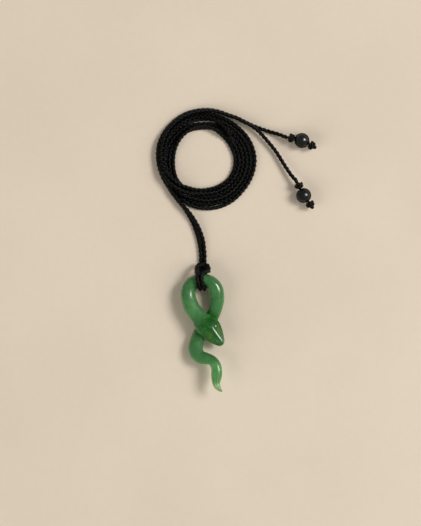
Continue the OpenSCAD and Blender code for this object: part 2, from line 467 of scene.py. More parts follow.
@dataclass(frozen=True)
class BlackStoneFinish:
    """Black stone with a dark metallic polish."""

    dark: Triple = (0.066, 0.067, 0.071)
    grey: Triple = (0.086, 0.088, 0.092)
    rim: Triple = (0.08, 0.08, 0.08)
    rough: Pair = (0.22, 0.28)

    def make(self, stone: NodeTree) -> Material:
        """Makes the material.

        Args:
            stone: the clouded stone group.

        Returns:
            The material.
        """
        material, sheet = new_material("black_polished_stone")
        cloud = sheet.clouds(stone, (-0.04, -0.07, 0))
        sockets = {
            "Base Color": sheet.mixed(cloud["Cloud"], self.dark, self.grey), "Metallic": 1.0, "IOR": 1.6,
            "Roughness": sheet.ranged(cloud["Grain"], *self.rough), "Specular Tint": (*self.rim, 1),
        }
        sheet.skin(sockets, cloud["Grain"], 0.04, 0.00005)
        return material


@dataclass(frozen=True)
class SurfaceFinish:
    """Warm pale plaster under the pendant."""

    colour: Triple = (0.79, 0.678, 0.546)
    speck: Triple = (0.62, 0.5, 0.38)
    # What the broad patches multiply the colour by, where they are dark and where they are light
    patches: Pair = (0.975, 1.02)

    def make(self) -> Material:
        """Makes the material.

        Returns:
            The material.
        """
        material, sheet = new_material("pale_surface")
        place = sheet.place()
        fine = sheet.noise(place, 420, 4)
        dark, light = (tuple(share * c for c in self.colour) for share in self.patches)
        shade = sheet.mixed(sheet.eased(sheet.noise(place, 16, 3), 0.3, 0.7), dark, light)
        shade = sheet.mixed(sheet.eased(fine, 0.35, 0.65, 0, 0.05), shade, self.speck)
        sheet.skin({"Base Color": shade, "Roughness": 0.85, "Specular IOR Level": 0.25}, fine, 0.12, 0.0002)
        return material


# ---------------------------------------------------------------- camera and studio


@dataclass(frozen=True)
class PhotoCamera:
    """Camera straight above the pendant, with the photograph's frame. Metres, and the sensor in millimetres."""

    height: float = 1.1
    sharp_plane: float = 0.003
    middle: Pair = (0.00314, 0.0278)
    frame_long_side: float = 0.2104
    sensor: float = 36.0

    def place(self) -> None:
        """Makes the scene's camera."""
        data = bpy.data.cameras.new("photo_camera")
        data.sensor_width = self.sensor
        data.lens = self.sensor * (self.height - self.sharp_plane) / self.frame_long_side
        data.clip_start, data.clip_end = 0.01, 20
        camera = bpy.data.objects.new("photo_camera", data)
        camera.location = (*self.middle, self.height)
        bpy.context.collection.objects.link(camera)
        bpy.context.scene.camera = camera


@dataclass(frozen=True)
class Lamp:
    """Square light that faces the pendant.

    Its tilt is from straight above and its turn from +X towards +Y, in degrees. Its side is in metres and its power
    in watts. A lamp that isn't glossy lights and shades, and leaves no reflection on the polish.
    """

    name: str
    tilt: float
    turn: float
    side: float
    power: float
    glossy: bool


@dataclass(frozen=True)
class Studio:
    """Pale surface, a key light and a soft one from the right, a low fill from the left, and a plain pale room."""

    lamps: tuple[Lamp, ...] = (
        Lamp("key_light", 43.0, 18.0, 0.65, 22.0, True),
        Lamp("soft_light", 50.0, -12.0, 1.3, 11.0, False),
        Lamp("fill_light", 65.0, 210.0, 2.0, 23.0, False),
    )
    aim: Triple = (0.003, 0.028, 0.0)
    far: float = 2.0
    surface_half: float = 3.0
    room: float = 0.18
    room_colour: Triple = (1.0, 0.96, 0.85)

    def hang(self, lamp: Lamp) -> None:
        """Makes one of the lights.

        Args:
            lamp: its place and strength.
        """
        data = bpy.data.lights.new(lamp.name, "AREA")
        data.shape, data.size, data.energy = "SQUARE", lamp.side, lamp.power
        light = bpy.data.objects.new(lamp.name, data)
        a, b = math.radians(lamp.tilt), math.radians(lamp.turn)
        way = np.array([math.sin(a) * math.cos(b), math.sin(a) * math.sin(b), math.cos(a)])
        light.location = np.array(self.aim) + self.far * way
        light.rotation_euler = (0.0, a, b)
        light.visible_glossy = lamp.glossy
        bpy.context.collection.objects.link(light)

    def build(self) -> None:
        """Makes the surface, the lights and the room."""
        bm = bmesh.new()
        bmesh.ops.create_grid(bm, x_segments=1, y_segments=1, size=self.surface_half)
        surface = finish_mesh(bm, "pale_surface", sharp=0.75)
        surface.data.materials.append(SurfaceFinish().make())
        for lamp in self.lamps:
            self.hang(lamp)
        world = bpy.data.worlds.new("plain_room")
        world.use_nodes = True
        back = next(n for n in world.node_tree.nodes if n.type == "BACKGROUND")
        back.inputs[0].default_value = (*self.room_colour, 1)
        back.inputs[1].default_value = self.room
        bpy.context.scene.world = world
        bpy.context.scene.view_settings.view_transform = "Standard"


# ---------------------------------------------------------------- cord


@dataclass(frozen=True)
class CoilWinding:
    """Winds both legs of the cord into the coil and lets the turns settle on each other.

    Sizes are in millimetres and angles in degrees. In each round the strands are pulled to their lanes and layers,
    sink by their weight, straighten by their stiffness, push each other off and are kept inside the band.
    """

    cord: float = 1.5
    centre: Pair = (1.5, 69.4)
    entry: float = 242.5
    step: float = 5.0
    stations: int = 256
    layer_rise: float = 1.35
    rounds: int = 1200
    lane_pull: float = 0.06
    pull_fade: float = 0.6
    layer_pull: float = 0.02
    weight: float = 0.015
    stiffness: float = 0.25
    pushes: int = 4
    push: float = 0.35
    spacing: float = 1.01
    band_push: float = 0.5
    end_heights: Pair = (0.8, 2.35)
    # Angle, inner edge and outer edge of the coil
    band: Table = (
        (0, 10.8, 20.1), (23, 10.3, 19.4), (45, 10.1, 18.8), (65, 11.1, 18.9), (80, 11.6, 19.9), (90, 11.7, 20.1),
        (115, 12.3, 20.4), (137, 12.65, 20.3), (160, 12.5, 20.3), (180, 12.45, 19.95), (198, 12.9, 19.5),
        (215, 13.7, 19.3), (230, 13.1, 19.7), (248, 12.0, 20.3), (270, 11.4, 20.3), (297, 11.2, 20.2),
        (318, 11.4, 19.5), (339, 11.1, 19.7), (360, 10.8, 20.1),
    )
    # Turns from the entry, then lane and layer of the left leg and of the right leg. Lane 0 is the inner edge
    lanes: Table = (
        (0.000, 1.26, 0.0, 1.24, 1.0), (0.014, 1.19, 0.0, 1.17, 1.0), (0.028, 1.12, 0.0, 1.10, 1.0),
        (0.049, 1.04, 0.0, 1.02, 1.0), (0.174, 1.04, 0.0, 0.79, 0.3), (0.300, 0.90, 0.0, 0.60, 0.0),
        (0.360, 0.76, 0.0, 0.50, 0.0), (0.424, 0.77, 0.0, 0.53, 0.0), (0.470, 0.86, 0.0, 0.62, 0.0),
        (0.600, 1.02, 0.0, 0.81, 0.0), (0.674, 1.04, 0.0, 0.82, 0.0), (0.870, 1.05, 0.0, 0.80, 0.0),
        (0.924, 1.05, 0.0, 0.76, 0.0), (0.985, 1.04, 0.0, 0.80, 0.0), (1.018, 0.90, 0.0, 0.62, 0.0),
        (1.049, 0.76, 0.0, 0.46, 0.0), (1.174, 0.53, 0.0, 0.27, 0.0),
        (1.360, 0.25, 0.0, 0.02, 0.0), (1.424, 0.20, 0.0, 0.00, 0.0), (1.470, 0.24, 0.0, 0.02, 0.0),
        (1.600, 0.60, 0.0, 0.40, 0.0), (1.674, 0.62, 0.0, 0.41, 0.0),
        (1.870, 0.58, 0.0, 0.39, 0.0), (1.940, 0.57, 0.0, 0.37, 0.0), (2.000, 0.66, 0.5, 0.18, 0.0),
        (2.049, 0.62, 1.0, 0.00, 0.0), (2.174, 0.64, 1.2, 0.00, 0.0), (2.300, 0.73, 1.0, 0.04, 0.6),
        (2.424, 0.70, 1.0, 0.10, 1.0), (2.520, 0.40, 1.0, 0.05, 0.4), (2.570, 0.22, 0.0, 0.00, 0.0),
        (2.674, 0.20, 0.0, 0.00, 0.0), (2.880, 0.20, 0.0, 0.00, 0.0), (2.950, 0.22, 0.0, 0.02, 0.0),
        (3.000, 0.42, 1.3, 0.05, 0.6), (3.049, 0.60, 2.0, 0.12, 1.0), (3.110, 0.92, 1.7, 0.62, 2.3),
        (3.174, 1.05, 1.2, 0.93, 2.4), (3.236, 1.06, 1.1, 0.99, 2.3), (3.300, 1.05, 0.9, 1.00, 2.1),
        (3.360, 1.05, 0.4, 1.00, 1.6), (3.424, 1.05, 0.0, 1.03, 1.0), (3.460, 1.08, 0.0, 1.07, 1.0),
        (3.480, 1.13, 0.0, 1.13, 1.0), (3.500, 1.26, 0.0, 1.26, 1.0), (3.542, 1.41, 0.0, 1.41, 1.0),
    )

    @staticmethod
    def soften(values: Array, half: int = 3) -> Array:
        """Rounds the corners of a row of values and keeps both its ends.

        Args:
            values: the row.
            half: how many values on each side are averaged.

        Returns:
            The softened row.
        """
        out = values.copy()
        for i in range(1, len(values) - 1):
            reach = min(half, i, len(values) - 1 - i)
            out[i] = values[i - reach : i + reach + 1].mean()
        return out

    def wind(self) -> list[Array]:
        """Works out the turns.

        Returns:
            For each leg, rows of x, y, z in millimetres from the neck's end to the tail's start.
        """
        band, lanes = np.array(self.band), np.array(self.lanes)
        degrees = np.arange(self.stations) * self.step
        angle = (self.entry - degrees) % 360
        inner = np.interp(angle, band[:, 0], band[:, 1]) + self.cord / 2
        outer = np.interp(angle, band[:, 0], band[:, 2]) - self.cord / 2
        want_r, want_z = np.zeros((2, self.stations)), np.zeros((2, self.stations))
        for leg in (0, 1):
            lane, layer = (
                self.soften(np.interp(degrees / 360, lanes[:, 0], lanes[:, k + 2 * leg])) for k in (1, 2)
            )
            want_r[leg] = inner + lane * (outer - inner)
            want_z[leg] = self.cord / 2 + layer * self.layer_rise
        r, z = want_r.copy(), want_z.copy()
        # The strands that cross the same ray from the coil's centre are settled together
        per_turn = int(round(360 / self.step))
        passes = -(-self.stations // per_turn)
        column = np.arange(per_turn)[:, None] + per_turn * np.arange(passes)[None, :]
        live = np.tile(column < self.stations, (1, 2))
        column = np.tile(np.minimum(column, self.stations - 1), (1, 2))
        legs = np.repeat([[0] * passes + [1] * passes], per_turn, axis=0)
        each = np.arange(2 * passes)
        for turn in range(self.rounds):
            late = turn / self.rounds
            r += self.lane_pull * (1 - self.pull_fade * late) * (want_r - r)
            z += self.layer_pull * (1 - late) * (want_z - z) - self.weight
            for a in (r, z):
                a[:, 1:-1] += self.stiffness * ((a[:, :-2] + a[:, 2:]) / 2 - a[:, 1:-1])
            for _ in range(self.pushes):
                gr = np.where(live, r[legs, column], 1e3 * each)
                gz = np.where(live, z[legs, column], 0)
                dr, dz = gr[:, :, None] - gr[:, None, :], gz[:, :, None] - gz[:, None, :]
                apart = np.sqrt(dr**2 + dz**2) + 1e-9
                short = np.clip(self.cord * self.spacing - apart, 0, None)
                short[:, each, each] = 0
                for a, d in ((r, dr), (z, dz)):
                    np.add.at(a, (legs[live], column[live]), self.push * (short * d / apart).sum(2)[live])
                np.clip(z, self.cord / 2, None, out=z)
            r[:, 0], r[:, -1] = want_r[:, 0], want_r[:, -1]
            z[:, 0] = z[:, -1] = self.end_heights
            beyond = np.clip(r - np.maximum(outer, want_r), 0, None)
            r += self.band_push * np.clip(inner - r, 0, None) - self.band_push * beyond
        a = np.radians(angle)
        LOG.info("coil: turns settled to %.3f mm, %.2f mm high", short.max(), z.max() + self.cord / 2)
        x, y = self.centre[0] + r * np.cos(a), self.centre[1] + r * np.sin(a)
        return [np.stack([x[k], y[k], z[k]], axis=1) for k in (0, 1)]


@dataclass(frozen=True)
class Braid:
    """Round braid of four strands, two turning each way, that pass over and under each other."""

    lay: float = 3.7 * MM
    middle: float = 0.28 * MM
    swing: float = 0.25 * MM
    half_width: float = 0.55 * MM
    half_height: float = 0.33 * MM
    bulge: float = 0.12
    sides: int = 10
    step: float = 0.23 * MM
    ply_twist: float = 2600.0
    ply_length: float = 0.4 * MM
    face: float = math.radians(45)
    roll: float = 0.15
    roll_length: float = 61.0 * MM
    tuck: float = 0.2
    tuck_depth: float = 0.5 * MM
    lobe: float = 0.11
    above_floor: float = 0.02 * MM
    sharp: float = 1.3

    def level_sides(self, line: Array) -> Array:
        """Gives the level direction square to a line at each of its points."""
        return unit(np.cross(UP, np.gradient(line, axis=0)))

    def carried_sides(self, line: Array, first: Array, last: Array | None = None) -> Array:
        """Carries a side direction along a line without twist.

        Args:
            line: rows of x, y, z.
            first: side direction at the start.
            last: side direction wanted at the end, reached by a slow twist.

        Returns:
            A side direction for each row.
        """
        ways = unit(np.gradient(line, axis=0))
        sides = np.zeros_like(line)
        side = np.array(first, float)
        for i, way in enumerate(ways):
            side = side - side.dot(way) * way
            side /= np.linalg.norm(side)
            sides[i] = side
        if last is not None:
            other = np.cross(ways[-1], sides[-1])
            off = math.atan2(float(np.dot(last, other)), float(np.dot(last, sides[-1])))
            turn = (off * np.linspace(0, 1, len(line)))[:, None]
            sides = sides * np.cos(turn) + np.cross(ways, sides) * np.sin(turn)
        return sides

    def piece(self, name: str, line: Array, sides: Array, swell: Numbers = 1.0, start: float = 0.0) -> Object:
        """Braids the four strands along a line.

        Args:
            name: name of the piece.
            line: evenly spaced rows of x, y, z.
            sides: a side direction for each row.
            swell: size of the braid as a share of its full size, one for all rows or one for each.
            start: length of cord before the line's start, which sets where the strands cross.

        Returns:
            The new object.
        """
        bm = bmesh.new()
        bm.verts.layers.float_vector.new("strand_place")
        size = np.ones(len(line)) * swell
        ups = np.cross(unit(np.gradient(line, axis=0)), sides)
        run = start + run_along(line)
        beat = FULL_TURN * run / self.lay
        around = FULL_TURN * np.arange(self.sides) / self.sides
        # The cord rolls slowly one way and back, so its stitches aren't all seen from the same side
        roll = self.face + self.roll * np.sin(FULL_TURN * run / self.roll_length)
        for hand, half in ((1, 0.0), (1, math.pi), (-1, 0.0), (-1, math.pi)):
            turn = (hand * beat + half + roll)[:, None]
            out = np.cos(turn) * sides + np.sin(turn) * ups
            over = hand * np.cos(2 * beat)
            far = (self.middle + self.swing * over) * size
            plump = (1 + self.bulge * over) * size
            middle = line + far[:, None] * out
            way = unit(np.gradient(middle, axis=0))
            out = unit(out - (out * way).sum(1, keepdims=True) * way)
            across = np.cross(way, out)
            rings = (
                middle[:, None, :]
                + (self.half_width * plump)[:, None, None] * np.cos(around)[None, :, None] * across[:, None, :]
                + (self.half_height * plump)[:, None, None] * np.sin(around)[None, :, None] * out[:, None, :]
            )
            # Each stitch swells its own edge of the cord, and the underside is drawn in a little
            off = rings - line[:, None, :]
            low = np.clip(-(off * ups[:, None, :]).sum(2) / self.tuck_depth, 0, 1)
            aside = (off * sides[:, None, :]).sum(2)
            shift = self.lobe * np.abs(aside) * np.cos(2 * beat)[:, None] - self.tuck * low * aside
            rings += shift[:, :, None] * sides[:, None, :]
            # The cord flattens where it lies on the surface
            rings[:, :, 2] = np.maximum(rings[:, :, 2], self.above_floor)
            ply = around[None, :] + hand * self.ply_twist * run[:, None]
            # Each strand has its own stretch of the ply's pattern
            along = np.repeat(run[:, None] / self.ply_length + 7 * hand + half, self.sides, 1)
            add_tube(bm, rings, np.stack([np.cos(ply), np.sin(ply), along], axis=2))
        return finish_mesh(bm, name, self.sharp)


@dataclass
class DoubledCord:
    """The whole cord in one run: the left leg from its bead, the hitch on the snake, the right leg to its bead."""

    braid: Braid
    finish: Material
    # Routes of the CAD part, x, y, z in millimetres. The hitch is drawn tighter at its right lobe and front, and
    # the legs lie up to 0.14 mm nearer each other beside it, so that no light shows between them
    hitch_route: Table = (
        (-0.74, 28.2, 0.80), (-0.74, 25.0, 0.80), (-0.80, 22.0, 0.80), (-0.90, 19.2, 0.80), (-0.95, 18.0, 1.40),
        (-0.96, 17.6, 2.60), (-1.02, 17.6, 4.30), (-1.12, 17.8, 5.90), (-1.34, 18.6, 7.20), (-1.70, 20.0, 7.85),
        (-2.05, 21.6, 7.85), (-2.12, 23.0, 7.45), (-2.30, 24.3, 6.20), (-2.35, 25.4, 4.75), (-2.22, 26.3, 3.45),
        (-1.40, 26.95, 2.70), (0.00, 27.05, 2.50), (1.40, 26.95, 2.65), (2.15, 26.4, 3.30), (2.36, 25.4, 4.40),
        (2.10, 24.6, 5.60), (1.10, 24.2, 6.60), (0.10, 23.75, 7.25), (-0.42, 22.9, 7.65), (-0.50, 21.6, 7.85),
        (-0.34, 20.1, 7.85), (0.18, 18.7, 7.25),
        (0.52, 17.8, 5.90), (0.66, 17.6, 4.30), (0.74, 17.6, 2.60), (0.80, 18.0, 1.40), (0.80, 19.2, 0.80),
        (0.84, 22.0, 0.80), (0.96, 25.0, 0.80), (0.80, 28.2, 0.80),
    )
    neck_left_route: Table = (
        (-0.76, 31.0, 0.80), (-1.02, 34.0, 0.80), (-1.60, 37.0, 0.80), (-2.45, 40.0, 0.80), (-3.60, 43.0, 0.80),
        (-5.05, 46.0, 0.80), (-7.00, 49.2, 0.80),
    )
    neck_right_route: Table = (
        (0.80, 31.0, 0.82), (0.56, 34.0, 0.90), (0.15, 37.0, 1.00), (-0.85, 40.1, 1.30), (-2.25, 43.2, 1.80),
        (-4.15, 46.3, 2.20), (-6.45, 49.2, 2.35),
    )
    tail_upper_route: Table = (
        (18.9, 83.35, 0.80), (21.6, 82.2, 0.80), (24.6, 81.1, 0.85), (27.6, 80.15, 1.10), (30.3, 79.35, 1.75),
        (32.2, 78.6, 2.55), (33.2, 78.2, 2.90), (34.0, 78.0, 3.00),
    )
    tail_lower_route: Table = (
        (18.8, 83.2, 2.35), (21.3, 81.5, 2.30), (23.7, 79.2, 2.15), (25.9, 76.7, 2.00), (27.9, 74.3, 1.90),
        (29.9, 71.6, 1.85), (31.7, 68.7, 1.90), (33.7, 65.5, 2.10), (35.6, 62.75, 2.45), (37.2, 60.95, 2.90),
        (37.78, 60.05, 3.00),
    )
    line: Array = field(default_factory=lambda: np.zeros((0, 3)))
    sides: Array = field(default_factory=lambda: np.zeros((0, 3)))
    cuts: tuple[int, int] = (0, 0)

    def lay_out(self) -> None:
        """Joins the routes and the coil's turns into one line and finds where the hitch starts and ends."""
        turns = CoilWinding().wind()
        left = np.vstack([self.neck_left_route, turns[0], self.tail_upper_route])
        right = np.vstack([self.neck_right_route, turns[1], self.tail_lower_route])
        hitch = np.array(self.hitch_route)
        self.line = curve_through(np.vstack([left[::-1], hitch, right]) * MM, self.braid.step)
        a, b = (int(np.argmin(np.linalg.norm(self.line - p * MM, axis=1))) for p in (hitch[0], hitch[-1]))
        self.cuts = (a, b)
        level = self.braid.level_sides(self.line)
        # The line is turned over between its legs, so the level side flips there
        wrap = self.braid.carried_sides(self.line[a : b + 1], level[a], level[b])
        self.sides = np.vstack([level[:a], wrap, level[b + 1 :]])

    def spread(self) -> Array:
        """Works out where the cord spreads in the hitch: in its two lobes, and on its front.

        Returns:
            The braid's size at each row of the hitch, as a share of its full size.
        """
        _, y, z = (self.line[self.cuts[0] : self.cuts[1] + 1] / MM).T
        lobes = smooth_step(23.0, 24.4, y) * smooth_step(1.6, 2.6, z)
        front = smooth_step(2.0, 3.0, z)
        upper, lower = smooth_step(23.4, 22.4, y) * front, smooth_step(19.8, 18.2, y) * front
        return 1.08 + 0.14 * lobes + 0.1 * upper + 0.12 * lower

    def build(self) -> tuple[Object, dict[Leg, tuple[Object, Array]]]:
        """Builds the hitch and both legs.

        Returns:
            The hitch's object, and for each leg its object and its centreline from the hitch to the inner knot.
        """
        self.lay_out()
        a, b = self.cuts
        made = []
        for name, first, last, swell, nodes in (
            ("hitch_braid", a, b, self.spread(), ["hitch"]),
            ("left_leg_braid", 0, a, 1.0, ["neck_cord_left", "coil", "tail_cord_upper"]),
            ("right_leg_braid", b, len(self.line) - 1, 1.0, ["neck_cord_right", "coil", "tail_cord_lower"]),
        ):
            rows = slice(first, last + 1)
            piece = self.braid.piece(name, self.line[rows], self.sides[rows], swell, first * self.braid.step)
            dress(piece, self.finish, nodes)
            made.append(piece)
        hitch, left, right = made
        return hitch, {Leg.LEFT: (left, self.line[a::-1]), Leg.RIGHT: (right, self.line[b:])}


# ---------------------------------------------------------------- beads and knots


@dataclass(frozen=True)
class BeadEnd:
    """A bead on its stretch of cord between two overhand knots. Millimetres and degrees, as in the CAD part."""

    name: str
    at: Pair
    turn: float
    bend: float
    bead_d: float = 6.0
    bore_d: float = 1.8
    lip: float = 0.16
    knot_gap: float = 0.03
    knot_l: float = 2.7
    wrap_middle: float = 1.0
    wrap_swell: float = 0.99
    wrap_reach: float = 0.58
    wrap_sway: float = 0.1
    wrap_turn: Pair = (-70.0, 520.0)
    wrap_points: int = 24
    taper: Triple = (0.6, 0.8, 0.92)
    stub_l: float = 0.6
    thread_gap: float = 0.07
    thread_swell: float = 0.96

    def world(self, points: Array, turn: float) -> Array:
        """Puts points on the bead's thread.

        Args:
            points: rows of distance along the thread, to its left and up, in millimetres.
            turn: direction of the thread in degrees.

        Returns:
            Rows of x, y, z in metres.
        """
        a = math.radians(turn)
        x = self.at[0] + points[:, 0] * math.cos(a) - points[:, 1] * math.sin(a)
        y = self.at[1] + points[:, 0] * math.sin(a) + points[:, 1] * math.cos(a)
        return np.stack([x, y, self.bead_d / 2 + points[:, 2]], axis=1) * MM

    def bead(self, finish: Material) -> Object:
        """Turns the drilled bead about its thread from a half profile with rounded lips.

        Args:
            finish: the stone's material.

        Returns:
            The new object.
        """
        big, bore = self.bead_d / 2, self.bore_d / 2
        reach = math.sqrt(big**2 - (bore + self.lip) ** 2)
        start = math.asin((bore + self.lip) / big)
        lip = [(reach - 0.17, bore), (reach - 0.06, bore + 0.05), (reach - 0.01, bore + self.lip * 0.6)]
        outside = [(big * math.cos(a), big * math.sin(a)) for a in np.linspace(start, math.pi - start, 40)]
        profile = lip + outside + [(-x, y) for x, y in reversed(lip)]
        bm = bmesh.new()
        verts = [bm.verts.new(p) for p in self.world(np.array([(x, 0.0, y) for x, y in profile]), self.turn)]
        edges = [bm.edges.new((v, verts[(i + 1) % len(verts)])) for i, v in enumerate(verts)]
        middle, ahead = self.world(np.array([[0.0, 0, 0], [1.0, 0, 0]]), self.turn)
        bmesh.ops.spin(
            bm, geom=verts + edges, cent=middle, axis=unit(ahead - middle), dvec=(0, 0, 0), angle=FULL_TURN,
            steps=72, use_merge=True, use_duplicate=False,
        )
        piece = finish_mesh(bm, f"{self.name}_polished_bead", sharp=0.9)
        dress(piece, finish, [f"{self.name}_bead"])
        return piece

    def knot_route(self, place: KnotPlace) -> Array:
        """Runs the cord through an overhand knot: along its middle, back round itself in wraps, and out.

        Args:
            place: which knot, as the last one ends in a cut stub.

        Returns:
            Rows of distance along, left and up from the knot's centre, in millimetres.
        """
        half = self.knot_l / 2
        a = np.linspace(*np.radians(self.wrap_turn), self.wrap_points)
        share = np.linspace(0, 1, self.wrap_points)
        along = self.wrap_reach * (1 - 2 * share) + self.wrap_sway * np.sin(a + 0.5)
        wraps = np.stack([along, self.wrap_middle * np.cos(a), self.wrap_middle * np.sin(a)], axis=1)
        start = np.array([[-half + 0.05, 0, 0], [-0.6, 0.06, 0.05], [0.1, 0.02, -0.1], [0.62, 0.12, -0.45]])
        reach = half + (self.stub_l if place is KnotPlace.END else -0.05)
        out = np.array([[-0.25, -0.42, 0.1], [0.45, -0.1, 0.02], [reach - 0.5, 0, 0], [reach, 0.0, 0.0]])
        return np.vstack([start, wraps, out])

    def knot(self, braid: Braid, place: KnotPlace, finish: Material) -> Object:
        """Braids one overhand knot.

        Args:
            braid: the cord's braid.
            place: which knot.
            finish: the cord's material.

        Returns:
            The new object.
        """
        turn = self.turn - place.value * self.bend
        centre = place.value * (self.bead_d / 2 + self.knot_gap + self.knot_l / 2)
        line = curve_through(self.world(self.knot_route(place) + (centre, 0, 0), turn), braid.step * 0.7)
        swell = np.full(len(line), self.wrap_swell)
        swell[:3], swell[-3:] = self.taper, self.taper[::-1]
        way = np.array([math.cos(math.radians(turn)), math.sin(math.radians(turn)), 0])
        sides = braid.carried_sides(line, np.cross(UP, way))
        title = place.name.lower()
        piece = braid.piece(f"{self.name}_{title}_overhand_knot", line, sides, swell)
        dress(piece, finish, [f"{self.name}_{title}_knot"])
        return piece

    def thread(self, braid: Braid, finish: Material) -> Object:
        """Braids the stretch of cord inside the bead.

        Args:
            braid: the cord's braid.
            finish: the cord's material.

        Returns:
            The new object.
        """
        half = self.bead_d / 2 - self.thread_gap
        ends = self.world(np.array([[-half, 0, 0], [0, 0, 0], [half, 0, 0]]), self.turn)
        line = curve_through(ends, braid.step)
        piece = braid.piece(f"{self.name}_thread_braid", line, braid.level_sides(line), self.thread_swell)
        dress(piece, finish, [f"{self.name}_thread"])
        return piece

    def build(self, braid: Braid, cord: Material, stone: Material) -> list[Object]:
        """Builds the bead, its thread and both knots.

        Args:
            braid: the cord's braid.
            cord: the cord's material.
            stone: the bead's material.

        Returns:
            The pieces in order along the cord.
        """
        inner = self.knot(braid, KnotPlace.INNER, cord)
        return [inner, self.bead(stone), self.thread(braid, cord), self.knot(braid, KnotPlace.END, cord)]


# ---------------------------------------------------------------- snake


@dataclass(frozen=True)
class CarvedSnake:
    """The jade snake, swept along its own body and carved at the head. Millimetres."""

    limb_w: float = 5.8
    limb_t: float = 5.2
    head_w: float = 9.4
    head_t: float = 4.9
    lift: float = 0.02
    edge_drop: float = 0.08
    ridge_w: float = 0.64
    ridge_slope: float = 0.38
    keel_round: float = 0.045
    cheek_swell: float = 0.05
    cheek_hollow: float = 0.035
    lip_depth: float = 0.2
    crease_depth: float = 0.22
    cap_rings: int = 6
    cap_end: float = 83.0
    sides: int = 80
    head_rings: int = 10
    limb_rings: int = 8
    head_at: Pair = (2.2, 2.4)
    head_turn: float = -51.0
    # From the nose back: ahead of the widest point, offset to the right, height, share of head_w, share of
    # head_t, keel (1 sharp, 0 round), keel's shift to the left and its lift, both in millimetres
    head: Table = (
        (9.26, 0.15, 5.00, 0.15, 0.21, 0.6, 0.18, 0.40), (8.98, 0.15, 5.02, 0.26, 0.34, 0.7, 0.32, 0.58),
        (8.30, 0.15, 5.08, 0.38, 0.48, 0.75, 0.50, 0.76), (7.20, 0.12, 5.20, 0.51, 0.63, 0.85, 0.62, 0.52),
        (5.90, 0.10, 5.35, 0.65, 0.76, 1.0, 0.70, 0.24), (3.60, 0.05, 5.55, 0.85, 0.90, 0.95, 0.78, 0.05),
        (1.20, 0.00, 5.65, 0.97, 1.00, 0.62, 0.82, 0.0), (0.00, 0.05, 5.70, 1.00, 1.02, 0.25, 0.80, 0.0),
        (-1.20, 0.10, 5.70, 0.99, 1.02, 0.2, 0.78, 0.0), (-3.45, 0.40, 5.65, 0.82, 1.02, 0.0, 0.70, 0.0),
    )
    # x, y, height, share of limb_w, share of limb_t, from the neck to the loop's top
    loop_left: Table = (
        (-1.35, 6.15, 5.60, 1.12, 0.97), (-2.80, 7.90, 5.40, 1.06, 0.98), (-4.40, 10.25, 5.10, 1.06, 1.00),
        (-5.45, 13.10, 4.75, 1.02, 1.00), (-5.85, 15.30, 4.55, 0.99, 1.00), (-5.45, 17.70, 4.40, 0.97, 1.00),
        (-4.05, 19.70, 4.30, 0.93, 1.00), (-2.20, 20.70, 4.30, 0.88, 1.00), (0.00, 21.00, 4.30, 0.845, 1.00),
    )
    # The same, from the loop's top round to the tail's tip
    loop_right: Table = (
        (2.40, 20.50, 4.30, 0.90, 1.00), (4.30, 19.05, 4.25, 0.96, 1.00), (5.40, 17.00, 4.15, 1.00, 1.00),
        (5.70, 14.80, 4.00, 1.00, 1.00), (5.75, 12.80, 3.75, 0.98, 1.00), (5.30, 10.40, 3.35, 0.94, 1.00),
        (4.35, 7.60, 2.85, 0.93, 0.98), (2.55, 4.60, 2.50, 0.95, 0.96), (0.15, 1.40, 2.50, 0.98, 0.96),
        (-1.35, -1.40, 2.50, 1.00, 0.96), (-2.35, -4.00, 2.50, 1.00, 0.96), (-2.80, -6.10, 2.70, 1.00, 0.96),
        (-2.45, -8.05, 3.20, 0.98, 0.96), (-1.10, -9.65, 3.90, 0.92, 0.92), (0.90, -10.25, 4.60, 0.84, 0.86),
        (2.50, -10.60, 5.20, 0.76, 0.82), (3.90, -11.25, 5.70, 0.71, 0.78), (5.00, -12.60, 6.10, 0.73, 0.76),
        (5.60, -14.60, 6.45, 0.75, 0.74), (5.56, -17.10, 6.70, 0.75, 0.68), (5.42, -19.10, 7.00, 0.62, 0.56),
        (5.50, -20.50, 7.25, 0.51, 0.44), (6.08, -21.65, 7.45, 0.42, 0.33), (6.80, -22.55, 7.60, 0.27, 0.24),
        (7.60, -23.20, 7.75, 0.14, 0.13),
    )
    # Height, place ahead and to the right, half length and half width of the mounds on the head: the two bulges
    # behind the eyes, the hollows beside the snout, and the socket and the ball of each eye
    mounds: Table = (
        (0.34, -0.6, -1.9, 2, 1.7), (0.2, -0.7, 3.2, 1.8, 1.2), (-0.2, 5.4, -1.5, 2.2, 1.1),
        (-0.14, 5.6, 2.3, 2, 0.8), (-0.22, 1.75, 3.1, 1.35, 0.95), (0.6, 1.75, 3.1, 0.8, 0.6),
        (-0.22, 2.3, -1.75, 1.35, 0.95), (0.6, 2.3, -1.75, 0.8, 0.6),
    )

    def rows(self) -> Array:
        """Gives the tables as one array.

        Returns:
            Rows of x, y, height, width, thickness, keel, its shift, distance ahead and lift.
        """
        a = math.radians(self.head_turn)
        made = []
        for f, s, z, w, t, keel, shift, lift in self.head:
            x = self.head_at[0] + f * math.cos(a) + s * math.sin(a)
            y = self.head_at[1] + f * math.sin(a) - s * math.cos(a)
            made.append((x, y, z, w * self.head_w, t * self.head_t, keel, shift, f, lift))
        for x, y, z, w, t in self.loop_left + self.loop_right:
            made.append((x, y, z, w * self.limb_w, t * self.limb_t, 0.0, 0.0, -6.0, 0.0))
        return np.array(made)

    @staticmethod
    def row_at(rows: Array, u: float) -> Array:
        """Gives the row at u on a smooth curve through the rows.

        Args:
            rows: the tables.
            u: place along them, where 2.5 is halfway from row 2 to row 3.

        Returns:
            The row.
        """
        last = len(rows) - 1
        i = max(0, min(int(math.floor(u)), last - 1))
        return smooth_between(rows[max(i - 1, 0)], rows[i], rows[i + 1], rows[min(i + 2, last)], u - i)

